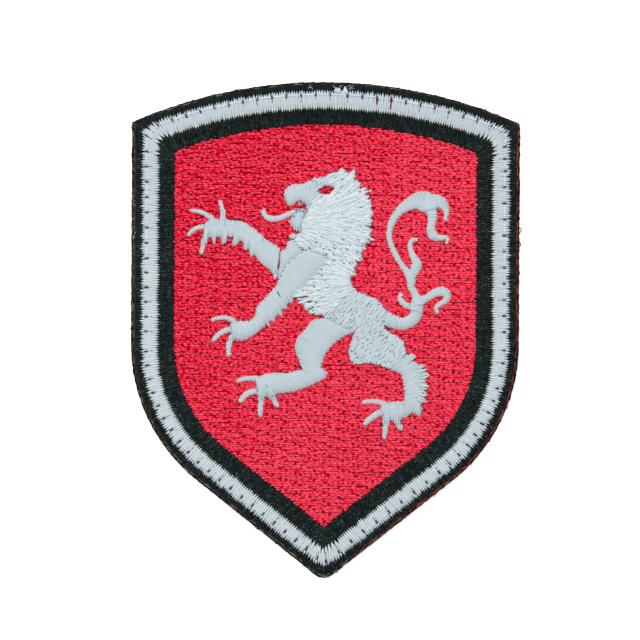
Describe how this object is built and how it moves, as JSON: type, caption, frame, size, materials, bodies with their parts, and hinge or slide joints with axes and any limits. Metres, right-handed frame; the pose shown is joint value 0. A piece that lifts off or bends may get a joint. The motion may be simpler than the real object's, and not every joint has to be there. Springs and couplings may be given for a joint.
{
  "type": "hook-and-loop patch",
  "caption": "Shield-shaped embroidered cloth patch with a hook backing that presses onto a loop panel on clothing or a bag.",
  "frame": {"origin": "under the middle of the shield, on the tips of the hooks, where the patch meets what it is pressed onto", "axes": "+Z out of the embroidered face, +Y towards the arched top of the shield, +X to the right as the face is read"},
  "size_m": [0.07, 0.0896, 0.0043],
  "materials": {
    "black_tape": "black woven nylon tape with nylon hooks",
    "red_twill": "red woven polyester twill",
    "black_thread": "matte black embroidery thread in short fill stitches",
    "white_thread": "cool white embroidery thread with a soft sheen",
    "red_thread": "red embroidery thread in level rows of fill stitches"
  },
  "bodies": {
    "root": {"hook_tape": "black_tape", "ground_cloth": "red_twill", "black_band": "black_thread", "white_border": "white_thread", "red_field": "red_thread", "lion_mane": "white_thread", "lion_muzzle": "white_thread", "lion_jaw": "white_thread", "lion_tongue": "white_thread", "lion_haunch": "white_thread", "lion_far_foreleg": "white_thread", "lion_near_foreleg": "white_thread", "lion_near_hind_leg": "white_thread", "lion_far_hind_leg": "white_thread", "lion_tail": "white_thread"}
  },
  "joints": []
}
